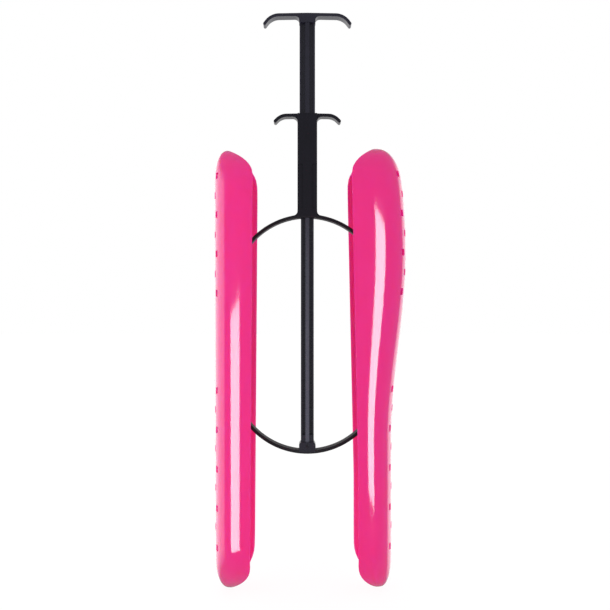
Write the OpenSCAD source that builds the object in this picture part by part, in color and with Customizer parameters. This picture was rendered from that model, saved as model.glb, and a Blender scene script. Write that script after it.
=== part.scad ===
// Boot shaper: two half-tube shells pressed apart inside a boot's shaft by two bowed leaf
// springs. Squeezing the palm grip towards the finger grip pushes the two bows apart, which
// draws the shells together so that the shaper can be put in or taken out.
// X runs from the front shell (minus) to the calf shell (plus), Z runs up along the rod,
// and Z = 0 is level with the front shell's lower tip.

/* [Shells] */
// Height of each shell from tip to tip
shell_h = 398; // [370:1:440]
// Wall thickness of both shells
shell_wall = 2; // [1.6:0.1:2.6]
// Half the width of a shell's mouth at its foot
half_width_foot = 35.3; // [32:0.1:40]
// Half the width of a shell's mouth at its top
half_width_top = 37.2; // [34:0.1:42]
// Squareness of the cross-section, where 2 is an ellipse
section_power = 2.25; // [2:0.05:2.8]
// Length over which the mouth's rim sweeps back to each tip
rim_sweep = 29; // [22:1:50]
// Length over which the spine rounds off to each tip
spine_round = 30; // [16:1:40]
// Length over which the width closes to each tip
width_round = 48; // [24:1:60]

/* [Front shell] */
// How far the mouth lies inside the hinge pins at the top
front_mouth_top = 23.7; // [17:0.1:27]
// How far the mouth lies inside the hinge pins at the foot
front_mouth_foot = 20.9; // [15:0.1:25]
// How far the outside of the spine lies beyond the hinge pins at the top
front_spine_top = 13.2; // [11:0.1:21]
// How far the outside of the spine lies beyond the hinge pins at the foot
front_spine_foot = 12.2; // [11:0.1:21]

/* [Calf shell] */
// How far the mouth lies inside the hinge pins at the top
calf_mouth_top = 33.1; // [25:0.1:37]
// How far the mouth lies inside the hinge pins below the ankle
calf_mouth_foot = 26.6; // [21:0.1:33]
// Height above which the mouth leans in towards the rod
mouth_bend_z = 94; // [60:1:140]
// How far the outside of the spine lies beyond the hinge pins at the ankle
ankle_spine = 5.3; // [4.6:0.1:13]
// How far the fullest part of the calf stands out beyond the ankle
calf_swell = 13.2; // [10:0.1:20]
// Height at which the calf starts to swell
calf_start_z = 136; // [110:1:150]
// Height of the fullest part of the calf
calf_peak_z = 302; // [280:1:330]
// How far the spine falls back in again between the calf and the top
calf_tuck = 8.4; // [0:0.1:14]
// How much higher the calf shell sits than the front shell
calf_lift = 1.6; // [0:0.1:4]

/* [Air slots] */
// Height of one slot
slot_h = 5.8; // [4:0.1:8]
// Width of one slot along the wall
slot_w = 5.4; // [3:0.1:6]
// Distance between slots in a row
slot_pitch = 35; // [28:0.5:38]
// Distance of the two side rows from the spine's middle
slot_row_offset = 17; // [15:0.5:20]
// Distance of each inner slot row from the middle line of the shell
slot_inner_offset = 11.5; // [8:0.5:13]
// Height of the lowest slots of the side rows
slot_low_z = 41.3; // [36:0.1:50]
// Slots in a side row below the carrier
slots_below = 5; // [3:1:5]
// Height of the first slots of the side rows above the carrier
slot_high_z = 267.8; // [266:0.1:280]
// Slots in a side row above the carrier
slots_above = 4; // [2:1:4]

/* [Bows] */
// Radius of each bow along the middle of its strip
bow_r = 68; // [64:0.1:69]
// Thickness of the spring strips
strip_t = 2.2; // [1.6:0.1:2.8]
// Width of the spring strips
strip_w = 12; // [11:0.5:15]
// Height of the top of the upper bow
upper_bow_top_z = 339.5; // [334:0.5:350]
// Height of the bottom of the lower bow
lower_bow_foot_z = 122.8; // [114:0.5:130]
// Radius of the blend between the sleeve's foot and the upper bow
hub_fillet = 4.2; // [2:0.1:6]
// Height of the upper bow's hub above the strip
hub_h = 5; // [5:0.1:8]

/* [Carriers and pins] */
// How far the hinge pins lie outside the radius of the bows
pin_spread = 3; // [2.4:0.1:4]
// Half the distance between the two pins of a carrier
pin_half_gap = 22; // [18:0.5:24]
// Diameter of the hinge pins
pin_d = 4; // [3:0.1:4.4]
// Radial clearance of a pin in the carrier
pin_fit = 0.05; // [0.02:0.01:0.1]
// Radial clearance of a pin in the eye of a strip
eye_fit = 0.08; // [0.02:0.01:0.1]
// Wall of the eye around a pin
eye_wall = 1.5; // [1:0.1:2]
// Thickness of a carrier's cheeks
cheek_t = 2.4; // [1.8:0.1:3]
// Radius of the ears that hold the pins
ear_r = 5.5; // [4.6:0.1:6]
// Thickness of a carrier's floor
floor_t = 2; // [1.2:0.1:2.4]
// Gap between a strip's eye and the cheeks
eye_side_gap = 0.5; // [0.2:0.1:1]
// Diameter of a hinge pin's head
pin_head_d = 6.4; // [5.4:0.1:8]
// Thickness of a hinge pin's head
pin_head_t = 1; // [0.6:0.1:1.6]

/* [Rod and palm grip] */
// Width of the rod above the sleeve
rod_upper_w = 14; // [13:0.1:16]
// Width of the rod below the sleeve
rod_lower_w = 11.7; // [9:0.1:12]
// Depth of the rod over its middle rib
rod_d = 8.4; // [7:0.1:9]
// Width of the middle rib
rib_w = 3.8; // [2.6:0.1:5]
// Depth of the rod's edge flanges
flange_d = 6; // [5:0.1:6.8]
// Thickness of the edge flanges
flange_t = 1.5; // [1:0.1:2]
// Thickness of the web between the ribs
web_t = 2.6; // [1.8:0.1:4]
// Length of the solid block at the rod's foot
foot_block_h = 13; // [9:0.5:20]
// Height of the palm grip's top
palm_top_z = 522; // [500:0.5:550]
// Width of the palm grip over its hooks
palm_w = 80; // [66:0.5:96]
// Thickness of the palm grip
palm_t = 2.8; // [2.2:0.1:4]
// Radius of the palm grip's hooks along the middle of the strip
palm_hook_r = 14.6; // [9:0.1:18]
// Height of the solid block between the palm grip and the ribbed rod
head_block_h = 5.6; // [2:0.1:10]
// Angle of the palm grip's hooks
palm_hook_angle = 52; // [35:1:75]
// Straight end of the palm grip's hooks
palm_tip = 2.5; // [1:0.1:5]
// Fall of the palm grip's arms from the middle
palm_droop = 1; // [0:0.1:4]
// Depth of both grips
grip_d = 9.4; // [8:0.1:11]
// Radius of the blends under both grips
grip_fillet = 4.4; // [2:0.1:6]

/* [Sleeve and finger grip] */
// Width of the sleeve
sleeve_w = 17.8; // [17:0.1:20]
// Depth of the sleeve
sleeve_d = 12; // [11.4:0.1:14]
// Height of the sleeve's top, level with the finger grip
sleeve_top_z = 431; // [424:0.5:440]
// Height of the ledge inside the sleeve that stops the rod
ledge_z = 387; // [380:0.5:394]
// Clearance between rod and sleeve on each side
slide_fit = 0.25; // [0.1:0.05:0.4]
// Width of the land down the middle of the sleeve's narrow part
land_w = 8.4; // [6:0.1:10]
// Depth of the panels beside the land
panel_in = 0.8; // [0.3:0.1:0.9]
// Chamfer of the sleeve's upright edges
sleeve_chamfer = 1; // [0.4:0.1:1.2]
// Height of the slope at the front and back of the sleeve's mouth
mouth_slope_h = 2.4; // [1:0.1:4]
// Depth of the slope at the front and back of the sleeve's mouth
mouth_slope_d = 0.9; // [0.4:0.1:1.2]
// Width of the finger grip over its hooks
finger_w = 61; // [54:0.5:70]
// Thickness of the finger grip
finger_t = 2.9; // [2.2:0.1:4]
// Radius of the finger grip's hooks along the middle of the strip
finger_hook_r = 12.5; // [7:0.1:15]
// Angle of the finger grip's hooks
finger_hook_angle = 45; // [30:1:70]
// Straight end of the finger grip's hooks
finger_tip = 2; // [1:0.1:5]
// Fall of the finger grip's arms from the middle
finger_droop = 1; // [0:0.1:4]

/* [Foot socket] */
// Width of the socket that holds the rod's foot
socket_w = 15; // [13.6:0.1:17]
// Height of the socket
socket_h = 7.5; // [7:0.1:12]
// Height of the socket's sloping shoulders
shoulder_h = 2.1; // [1:0.1:3]
// Thickness of the socket's floor
socket_floor = 1; // [0.8:0.1:1.6]
// Clearance of the rod's foot in the socket on each side
socket_fit = 0.1; // [0.05:0.01:0.2]
// Diameter of the cross pin through the socket
cross_pin_d = 2.4; // [1.8:0.1:3]

/* [Travel] */
// How far the rod moves down through the sleeve
stroke = 24; // [16:0.5:26]

/* [Hidden] */

$fn = 64;
pink = "#e2327a";
black = "#2a2a2e";
steel = "#b8babd";

// Faces of a shell: stations along each tip, along the straight part, and steps round the arc
tip_steps = 8;
body_steps = 16;
arc_steps = 28;
// Steps along a bow's arc and along a grip's hook
bow_steps = 60;
hook_steps = 12;
// Share of an end's length that is left as a tiny flat at the tip
tip_flat = 0.012;
// Shape of the rounding towards a tip: blunt at the spine, nearly straight along the rim
round_power = 2.2;
rim_root = 1;
spine_root = 0.42;
front_width_root = 0.85;
calf_width_root = 0.6;
// Where the foot's and the top's tip lie between mouth and spine, as a share of the depth
front_tip_share = [0.6, 0.67];
calf_tip_share = [0.65, 0.56];
// Small overlap that makes cuts and joins clean
eps = 0.02;
// How far the block under the palm grip stands out beside the rod and back from the grip's faces
head_lip = 0.4;
// Gap between a carrier and the curved wall behind it
seat_gap = 0.3;
// Gap left at the end of the rod's travel
stop_gap = 0.2;
// Gap between a pin's head and the cheek beside it
head_gap = 0.1;

// The two bows are halves of one upright hoop, and the carriers sit at its middle height
upper_centre_z = upper_bow_top_z - strip_t / 2 - bow_r;
lower_centre_z = lower_bow_foot_z + strip_t / 2 + bow_r;
hoop_z = (upper_bow_top_z + lower_bow_foot_z) / 2;
pin_x = bow_r + pin_spread;
upper_pin_z = hoop_z + pin_half_gap;
lower_pin_z = hoop_z - pin_half_gap;
pin_r = pin_d / 2;
eye_r = pin_r + eye_fit + eye_wall;
cheek_in = strip_w / 2 + eye_side_gap;
cheek_out = cheek_in + cheek_t;
// The sleeve stands on the upper bow's hub, and the rod's foot stands in the socket
hub_top_z = upper_bow_top_z + hub_h;
socket_z = lower_bow_foot_z + strip_t + 0.6;
rod_foot_z = socket_z + socket_floor + socket_fit;
socket_top_z = socket_z + socket_h;
cross_pin_z = socket_z + socket_floor + (socket_h - socket_floor) / 2;
rod_shoulder_z = ledge_z + stroke + stop_gap;

// Smooth step from 0 to 1 while t goes from 0 to 1
function ease(t) = let (c = max(0, min(1, t))) c * c * (3 - 2 * c);

// Nearly 0 at a tip and 1 from the given length on
function closing(u, length, root) =
    let (t = max(tip_flat, min(1, u / length)))
    pow(1 - pow(1 - t, round_power), root);
function both_ends(z, length, root) =
    closing(z, length, root) * closing(shell_h - z, length, root);

// Distances from the rod's axis, at a height above the shell's own lower tip
function straight_mouth(calf, z) =
    pin_x - (calf
        ? calf_mouth_foot
            + (calf_mouth_top - calf_mouth_foot) * max(0, (z - mouth_bend_z) / (shell_h - mouth_bend_z))
        : front_mouth_foot + (front_mouth_top - front_mouth_foot) * z / shell_h);
function straight_spine(calf, z) =
    pin_x + (calf
        ? ankle_spine + calf_swell * ease((z - calf_start_z) / (calf_peak_z - calf_start_z))
            - calf_tuck * pow(max(0, (z - calf_peak_z) / (shell_h - calf_peak_z)), 2)
        : front_spine_foot + (front_spine_top - front_spine_foot) * z / shell_h);
function tip_share(calf, z) = (calf ? calf_tip_share : front_tip_share)[z < shell_h / 2 ? 0 : 1];
function tip_x(calf, z) =
    let (m = straight_mouth(calf, z), s = straight_spine(calf, z))
    m + (s - m) * tip_share(calf, z);
function mouth_x(calf, z) =
    let (t = tip_x(calf, z)) t + (straight_mouth(calf, z) - t) * both_ends(z, rim_sweep, rim_root);
function spine_x(calf, z, inset) =
    let (t = tip_x(calf, z)) t + (straight_spine(calf, z) - inset - t) * both_ends(z, spine_round, spine_root);
function half_width(calf, z, inset) =
    (half_width_foot + (half_width_top - half_width_foot) * z / shell_h - inset)
    * both_ends(z, width_round, calf ? calf_width_root : front_width_root);

// One arc of a section from the near rim round the spine to the far rim
function section_arc(calf, z, inset, out_z) = [
    for (j = [0 : arc_steps])
        let (
            a = 180 * j / arc_steps,
            m = mouth_x(calf, z),
            s = spine_x(calf, z, inset),
            side = cos(a) < 0 ? 1 : -1
        )
        [
            m + (s - m) * pow(sin(a), 2 / section_power),
            side * half_width(calf, z, inset) * pow(abs(cos(a)), 2 / section_power),
            out_z
        ]
];

// Distance from the axis to the wall at a place beside the spine
function wall_x(calf, z, y, inset) =
    let (m = mouth_x(calf, z), s = spine_x(calf, z, inset), h = half_width(calf, z, inset))
    m + (s - m) * pow(1 - pow(abs(y) / h, section_power), 1 / section_power);

// Heights of the stations, closer together towards the tips
end_length = max(rim_sweep, spine_round, width_round);
stations = concat(
    [for (i = [0 : tip_steps - 1]) end_length * (1 - cos(90 * i / tip_steps))],
    [for (i = [0 : body_steps]) end_length + (shell_h - 2 * end_length) * i / body_steps],
    [for (i = [tip_steps - 1 : -1 : 0]) shell_h - end_length * (1 - cos(90 * i / tip_steps))]
);
// The inner face runs between heights that leave one wall at each tip
function inner_z(z) = shell_wall + z * (shell_h - 2 * shell_wall) / shell_h;

function reversed(list) = [for (i = [len(list) - 1 : -1 : 0]) list[i]];

// One shell as a closed skin: outer arc, far rim, inner arc and near rim at each station
module trough(calf) {
    loops = [
        for (z = stations)
            concat(section_arc(calf, z, 0, z), reversed(section_arc(calf, z, shell_wall, inner_z(z))))
    ];
    loop_n = 2 * (arc_steps + 1);
    last = len(stations) - 1;
    skin = [
        for (i = [0 : last - 1], j = [0 : loop_n - 1])
            let (
                a = i * loop_n + j,
                b = i * loop_n + (j + 1) % loop_n,
                c = a + loop_n,
                d = b + loop_n
            )
            each [[a, d, b], [a, c, d]]
    ];
    foot_cap = [
        for (j = [0 : arc_steps - 1])
            each [[j, j + 1, loop_n - 2 - j], [j, loop_n - 2 - j, loop_n - 1 - j]]
    ];
    base = last * loop_n;
    top_cap = [
        for (j = [0 : arc_steps - 1])
            each [
                [base + j, base + loop_n - 2 - j, base + j + 1],
                [base + j, base + loop_n - 1 - j, base + loop_n - 2 - j]
            ]
    ];
    polyhedron(points = [for (loop = loops) each loop], faces = concat(skin, foot_cap, top_cap));
}

// One slot through the wall, square to the surface
module air_slot(calf, y, z) {
    step = 0.5;
    x = wall_x(calf, z, y, shell_wall / 2);
    slope = (wall_x(calf, z, y + step, shell_wall / 2) - wall_x(calf, z, y - step, shell_wall / 2)) / 2 / step;
    translate([x, y, z])
        rotate([0, 0, -atan(slope)])
            cube([4 * shell_wall, slot_w, slot_h], center = true);
}

// Two staggered rows of slots down each side of the spine, with a plain stretch where the carrier sits
module air_slots(calf) {
    for (group = [[slot_low_z, slots_below], [slot_high_z, slots_above]], i = [0 : group[1] - 1], side = [-1, 1]) {
        z = group[0] + i * slot_pitch;
        air_slot(calf, side * slot_row_offset, z);
        if (i < group[1] - 1) {
            air_slot(calf, side * slot_inner_offset, z + slot_pitch / 2);
        }
    }
}

module shell(calf) {
    difference() {
        trough(calf);
        air_slots(calf);
    }
}

module front_shell() {
    color(pink) mirror([1, 0, 0]) shell(false);
}

module rear_shell() {
    color(pink) translate([0, 0, calf_lift]) shell(true);
}

// Extrudes an outline drawn in X and Z to equal depths either side of the middle plane
module upright(depth) {
    rotate([90, 0, 0]) linear_extrude(depth, center = true) children();
}

// A round bar along Y
module cross_bar(r, depth) {
    rotate([90, 0, 0]) cylinder(r = r, h = depth, center = true);
}

// Edge of a carrier along the wall behind it, as distances at equal steps of height
seat_steps = 8;
function seat_edge(calf, low, high, inset) =
    let (lift = calf ? calf_lift : 0)
    [
        for (i = [0 : seat_steps])
            let (z = low + (high - low) * i / seat_steps)
            [wall_x(calf, z - lift, cheek_out, shell_wall) - seat_gap - inset, z]
    ];

// Spring carrier: two cheeks with ears for the hinge pins, joined by a floor along the spine
module carrier(calf) {
    low = lower_pin_z - ear_r;
    high = upper_pin_z + ear_r;
    saddle_x = pin_x + ear_r / 2;
    difference() {
        union() {
            for (side = [-1, 1]) {
                translate([0, side * (cheek_in + cheek_out) / 2, 0]) {
                    upright(cheek_t)
                        polygon(concat([[saddle_x, low], [saddle_x, high]],
                            reversed(seat_edge(calf, low, high, 0))));
                    for (z = [lower_pin_z, upper_pin_z]) {
                        translate([pin_x, 0, z]) cross_bar(ear_r, cheek_t);
                        translate([pin_x, -cheek_t / 2, z - ear_r]) cube([ear_r / 2 + eps, cheek_t, 2 * ear_r]);
                    }
                }
            }
            upright(2 * cheek_in + 2 * eps)
                polygon(concat(seat_edge(calf, low, high, floor_t),
                    reversed(seat_edge(calf, low, high, 0))));
        }
        for (z = [lower_pin_z, upper_pin_z]) {
            translate([pin_x, 0, z]) cross_bar(pin_r + pin_fit, 2 * cheek_out + 1);
        }
    }
}

module front_carrier() {
    color(black) mirror([1, 0, 0]) carrier(false);
}

module rear_carrier() {
    color(black) carrier(true);
}

// Riveted pin through both cheeks, with a head at each end
module hinge_pin(side, z) {
    head_y = cheek_out + head_gap + pin_head_t / 2;
    color(steel) translate([side * pin_x, 0, z]) {
        cross_bar(pin_r, 2 * head_y);
        for (end = [-1, 1]) {
            translate([0, end * head_y, 0]) cross_bar(pin_head_d / 2, pin_head_t);
        }
    }
}

module upper_front_pin() {
    hinge_pin(-1, upper_pin_z);
}

module upper_rear_pin() {
    hinge_pin(1, upper_pin_z);
}

module lower_front_pin() {
    hinge_pin(-1, lower_pin_z);
}

module lower_rear_pin() {
    hinge_pin(1, lower_pin_z);
}

// Where the straight leg of a bow leaves its arc, measured down from the crown of the bow
pin_drop = upper_centre_z - upper_pin_z;
pin_reach = sqrt(pin_x * pin_x + pin_drop * pin_drop);
leg_length = sqrt(pin_reach * pin_reach - bow_r * bow_r);
leg_angle = acos(bow_r / pin_reach) - atan(pin_drop / pin_x);
arc_angle = 90 - leg_angle;

// Path along the middle of a bow: up one leg, over the arc and down the other leg
function bow_point(a, down) =
    [bow_r * cos(a) - down * cos(a + 90), bow_r * sin(a) - down * sin(a + 90), a + 90];
bow_path = concat(
    [bow_point(leg_angle, leg_length)],
    [for (i = [0 : bow_steps]) bow_point(leg_angle + 2 * arc_angle * i / bow_steps, 0)],
    [bow_point(180 - leg_angle, -leg_length)]
);

// Bow that is convex upwards, with its crown on the Z axis at the arc's radius, and an eye
// round each hinge pin
module bow() {
    difference() {
        union() {
            upright(strip_w) polygon(strip_outline(bow_path, strip_t));
            for (side = [-1, 1]) {
                translate([side * pin_x, 0, -pin_drop]) cross_bar(eye_r, strip_w);
            }
        }
        for (side = [-1, 1]) {
            translate([side * pin_x, 0, -pin_drop]) cross_bar(pin_r + eye_fit, strip_w + 1);
        }
    }
}

// Outline of a strip of even thickness along a path of [x, z, heading] points
function strip_outline(path, t) =
    concat(
        [for (p = path) [p[0] - t / 2 * sin(p[2]), p[1] + t / 2 * cos(p[2])]],
        reversed([for (p = path) [p[0] + t / 2 * sin(p[2]), p[1] - t / 2 * cos(p[2])]])
    );

// Window for a bar of the rod's section, with the sliding clearance all round
module rod_window(width, low, high) {
    translate([-width / 2 - slide_fit, -rod_d / 2 - slide_fit, low])
        cube([width + 2 * slide_fit, rod_d + 2 * slide_fit, high - low]);
}

// Blend in the corner between a level face and an upright face that meet at the origin
module corner_blend(r, depth) {
    difference() {
        translate([-eps, -depth / 2, -eps]) cube([r + eps, depth, r + eps]);
        translate([r, 0, r]) cross_bar(r, depth + 1);
    }
}

// Upper bow with the hub that carries the sleeve and lets the rod through
module upper_bow() {
    crown_z = upper_bow_top_z;
    blend_low = crown_z - pow(sleeve_w / 2 + hub_fillet, 2) / 2 / bow_r;
    color(black) difference() {
        union() {
            translate([0, 0, upper_centre_z]) bow();
            translate([-sleeve_w / 2, -sleeve_d / 2, crown_z - strip_t])
                cube([sleeve_w, sleeve_d, hub_top_z - crown_z + strip_t]);
            for (side = [0, 1]) {
                mirror([side, 0, 0])
                    translate([sleeve_w / 2, 0, blend_low]) corner_blend(hub_fillet, min(strip_w, sleeve_d));
            }
        }
        rod_window(rod_lower_w, crown_z - 3 * strip_t, hub_top_z + 1);
    }
}

// Lower bow with the pad that the socket stands on
module lower_bow() {
    color(black) {
        translate([0, 0, lower_centre_z]) mirror([0, 0, 1]) bow();
        translate([-socket_w / 2, -strip_w / 2, lower_bow_foot_z + strip_t / 2])
            cube([socket_w, strip_w, socket_z - lower_bow_foot_z - strip_t / 2]);
    }
}

// One arm of a grip, from the middle out: a strip, its hook and its rounded end
module grip_arm(width, t, hook_r, hook_angle, tip, droop) {
    drop = t / 2 + hook_r * (1 - cos(hook_angle)) + tip * sin(hook_angle);
    reach = (width / 2 - t / 2 + drop * sin(droop)) / cos(droop)
        - hook_r * sin(hook_angle) - tip * cos(hook_angle);
    arc = [
        for (i = [0 : hook_steps])
            let (a = hook_angle * i / hook_steps)
            [reach + hook_r * sin(a), hook_r * cos(a) - hook_r - t / 2, -a]
    ];
    bend = arc[hook_steps];
    end = [bend[0] + tip * cos(hook_angle), bend[1] - tip * sin(hook_angle), -hook_angle];
    rotate([0, droop, 0]) {
        upright(grip_d) polygon(strip_outline(concat([[-t / 2, -t / 2, 0]], arc, [end]), t));
        translate([end[0], 0, end[1]]) cross_bar(t / 2, grip_d);
    }
}

// T-shaped grip with its top at Z = 0, blended into a stem of the given width
module grip(width, t, hook_r, hook_angle, tip, droop, stem_w) {
    for (side = [0, 1]) {
        mirror([side, 0, 0]) {
            grip_arm(width, t, hook_r, hook_angle, tip, droop);
            translate([stem_w / 2, 0, -t - (stem_w / 2 + grip_fillet) * tan(droop)])
                mirror([0, 0, 1]) corner_blend(grip_fillet, grip_d);
        }
    }
}

// Section of the rod: a web with a flange along each edge and a deeper rib down the middle
function rod_corner(width) = [
    [rib_w / 2, rod_d / 2],
    [rib_w / 2, web_t / 2],
    [width / 2 - flange_t, web_t / 2],
    [width / 2 - flange_t, flange_d / 2],
    [width / 2, flange_d / 2]
];
module rod_bar(width, low, high) {
    quarter = rod_corner(width);
    right = concat(quarter, reversed([for (p = quarter) [p[0], -p[1]]]));
    translate([0, 0, low])
        linear_extrude(high - low)
            polygon(concat(right, reversed([for (p = right) [-p[0], p[1]]])));
}

// Push rod: palm grip, broad bar that stops on the sleeve's ledge, slender bar and solid foot
module push_rod() {
    color(black) difference() {
        union() {
            translate([0, 0, palm_top_z])
                grip(palm_w, palm_t, palm_hook_r, palm_hook_angle, palm_tip, palm_droop, rod_upper_w);
            rod_bar(rod_upper_w, rod_shoulder_z, palm_top_z - eps);
            rod_bar(rod_lower_w, rod_foot_z, rod_shoulder_z + eps);
            translate([-rod_lower_w / 2, -rod_d / 2, rod_foot_z])
                cube([rod_lower_w, rod_d, foot_block_h]);
            translate([-rod_upper_w / 2 - head_lip, -grip_d / 2 + head_lip, palm_top_z - palm_t - head_block_h])
                cube([rod_upper_w + 2 * head_lip, grip_d - 2 * head_lip, head_block_h + palm_t / 2]);
        }
        translate([0, 0, cross_pin_z]) cross_bar(cross_pin_d / 2 + pin_fit, rod_d + 1);
    }
}

// Rectangle with its four corners cut off
module chamfered_column(width, depth, cut, low, high) {
    quarter = [[width / 2 - cut, depth / 2], [width / 2, depth / 2 - cut]];
    right = concat(quarter, reversed([for (p = quarter) [p[0], -p[1]]]));
    translate([0, 0, low])
        linear_extrude(high - low)
            polygon(concat(right, reversed([for (p = right) [-p[0], p[1]]])));
}

// Wedge that slopes the top of the sleeve's front wall towards the bore
module mouth_slope() {
    width = rod_upper_w + 2 * slide_fit;
    translate([-width / 2, 0, sleeve_top_z])
        rotate([90, 0, 90])
            linear_extrude(width)
                polygon([
                    [-sleeve_d / 2 - eps, -mouth_slope_h], [-sleeve_d / 2 + mouth_slope_d, eps],
                    [-sleeve_d / 2 - eps, eps]
                ]);
}

// Sleeve with the finger grip: broad bore above the ledge, narrow bore and side panels below it
module finger_sleeve() {
    panel_w = (sleeve_w - land_w) / 2;
    color(black) difference() {
        union() {
            chamfered_column(sleeve_w, sleeve_d, sleeve_chamfer, hub_top_z, sleeve_top_z);
            translate([0, 0, sleeve_top_z])
                grip(finger_w, finger_t, finger_hook_r, finger_hook_angle, finger_tip, finger_droop, sleeve_w);
        }
        rod_window(rod_upper_w, ledge_z, sleeve_top_z + 1);
        rod_window(rod_lower_w, hub_top_z - 1, ledge_z + eps);
        mouth_slope();
        mirror([0, 1, 0]) mouth_slope();
        for (x = [-1, 1], y = [-1, 1]) {
            translate([x * (land_w + panel_w + 1) / 2, y * (sleeve_d / 2 - panel_in / 2 + 0.5), 0])
                translate([-panel_w / 2 - 0.5, -panel_in / 2 - 0.5, hub_top_z - 1])
                    cube([panel_w + 1, panel_in + 1, ledge_z - hub_top_z - 1]);
        }
    }
}

// Socket that takes the rod's foot, with sloping shoulders and a cross pin
module foot_socket() {
    half_w = socket_w / 2;
    neck = rod_lower_w / 2 + socket_fit + 0.5;
    color(black) difference() {
        upright(strip_w)
            polygon([
                [-half_w, socket_z], [half_w, socket_z], [half_w, socket_top_z - shoulder_h],
                [neck, socket_top_z], [-neck, socket_top_z], [-half_w, socket_top_z - shoulder_h]
            ]);
        translate([-rod_lower_w / 2 - socket_fit, -rod_d / 2 - socket_fit, socket_z + socket_floor])
            cube([rod_lower_w + 2 * socket_fit, rod_d + 2 * socket_fit, socket_h]);
        translate([0, 0, cross_pin_z]) cross_bar(cross_pin_d / 2 + pin_fit, strip_w + 1);
    }
}

module foot_pin() {
    color(steel) translate([0, 0, cross_pin_z]) cross_bar(cross_pin_d / 2, strip_w);
}

front_shell();
rear_shell();
front_carrier();
rear_carrier();
finger_sleeve();
upper_bow();
push_rod();
foot_socket();
foot_pin();
lower_bow();
upper_front_pin();
upper_rear_pin();
lower_front_pin();
lower_rear_pin();
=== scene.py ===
"""Boot shaper: two gloss plastic half-tube shells on a black sprung hoop with a squeeze grip.

Every length in the classes is in millimetres, in the frame of the model: X = 0 is the push
rod's axis, the front shell lies at minus X and the calf shell at plus X, and Z is up.
"""
import logging
import math
from dataclasses import dataclass, field, replace
from enum import Enum
from typing import Callable, Sequence

import bmesh
import bpy
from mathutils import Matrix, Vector


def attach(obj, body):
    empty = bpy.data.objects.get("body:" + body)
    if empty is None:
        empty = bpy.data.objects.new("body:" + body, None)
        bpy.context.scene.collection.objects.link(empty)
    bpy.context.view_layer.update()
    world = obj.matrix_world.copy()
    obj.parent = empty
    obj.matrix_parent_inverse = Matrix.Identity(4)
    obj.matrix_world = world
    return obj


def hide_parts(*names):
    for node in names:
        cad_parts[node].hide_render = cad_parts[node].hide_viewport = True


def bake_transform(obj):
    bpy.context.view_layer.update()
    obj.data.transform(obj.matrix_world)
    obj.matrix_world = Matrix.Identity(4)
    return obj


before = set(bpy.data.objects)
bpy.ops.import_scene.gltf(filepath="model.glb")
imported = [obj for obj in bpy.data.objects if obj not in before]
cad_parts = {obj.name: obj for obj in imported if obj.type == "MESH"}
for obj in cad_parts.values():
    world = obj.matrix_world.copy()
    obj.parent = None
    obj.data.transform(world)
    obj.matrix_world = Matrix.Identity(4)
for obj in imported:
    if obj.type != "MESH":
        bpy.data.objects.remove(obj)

logging.basicConfig(level=logging.INFO, format="%(message)s")
log = logging.getLogger("boot_shaper")

Material = bpy.types.Material
Piece = bpy.types.Object
Tree = bpy.types.NodeTree
Socket = bpy.types.NodeSocket

METRES_PER_MM = 0.001
# How near, in millimetres, a point has to lie to count as touching.
NEAR = 0.01
# Edges flatter than this many degrees are shaded smooth.
SMOOTH_ANGLE = 34

# Lengths in millimetres that several pieces share.
BOW_TOP = 339.5
SLEEVE_FOOT = 344.5
SLEEVE_WIDTH = 17.8
SLEEVE_DEPTH = 12
ROD_BORE = (12.2, 8.9)

# The sign of Z on which each bow lies, and its name.
LEVELS = ((1, "upper"), (-1, "lower"))


class Side(Enum):
    """Which side of the rod a piece lies on; the value is the sign of X."""

    FRONT = -1
    REAR = 1


class Element(Enum):
    """What an edit mode selection is made of."""

    VERT = "VERT"
    EDGE = "EDGE"
    FACE = "FACE"


# ---- Edit mode helpers ----


def leave() -> None:
    """Leaves edit mode."""
    bpy.ops.object.mode_set(mode="OBJECT")


def deselect_all() -> None:
    """Leaves edit mode and selects nothing."""
    if bpy.context.object and bpy.context.object.mode != "OBJECT":
        leave()
    bpy.ops.object.select_all(action="DESELECT")


def take(piece: Piece) -> None:
    """Makes one piece the only selected and the active one."""
    deselect_all()
    piece.select_set(True)
    bpy.context.view_layer.objects.active = piece


def edit(piece: Piece) -> None:
    """Opens a piece in edit mode with everything selected."""
    take(piece)
    bpy.ops.object.mode_set(mode="EDIT")
    bpy.ops.mesh.select_all(action="SELECT")


def settle(piece: Piece) -> None:
    """Turns a piece's location, rotation and scale into its mesh."""
    take(piece)
    bpy.ops.object.transform_apply(location=True, rotation=True, scale=True)


def pick(kind: Element, test: Callable[[Vector], bool]) -> int:
    """Selects what has its middle where the test says, in the mesh in edit mode, and counts it."""
    bpy.ops.mesh.select_mode(type=kind.value)
    bpy.ops.mesh.select_all(action="DESELECT")
    mesh = bmesh.from_edit_mesh(bpy.context.object.data)
    if kind is Element.VERT:
        chosen = [v for v in mesh.verts if test(v.co)]
    elif kind is Element.EDGE:
        chosen = [e for e in mesh.edges if test((e.verts[0].co + e.verts[1].co) / 2)]
    else:
        chosen = [f for f in mesh.faces if test(f.calc_center_median())]
    for element in chosen:
        element.select_set(True)
    mesh.select_flush_mode()
    bmesh.update_edit_mesh(bpy.context.object.data)
    return len(chosen)


def run_modifier(piece: Piece, kind: str, **settings: object) -> None:
    """Adds a modifier of Blender's named type to a piece, with its settings, and applies it."""
    take(piece)
    modifier = piece.modifiers.new(kind.title(), kind)
    for name, value in settings.items():
        setattr(modifier, name, value)
    bpy.ops.object.modifier_apply(modifier=modifier.name)


def cut(piece: Piece, tool: Piece) -> None:
    """Takes the tool's shape out of a piece and removes the tool."""
    run_modifier(piece, "BOOLEAN", operation="DIFFERENCE", solver="EXACT", object=tool)
    bpy.data.objects.remove(tool)


def fuse(piece: Piece, other: Piece) -> None:
    """Moulds another shape into a piece as one solid."""
    run_modifier(piece, "BOOLEAN", operation="UNION", solver="EXACT", object=other)
    bpy.data.objects.remove(other)


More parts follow.
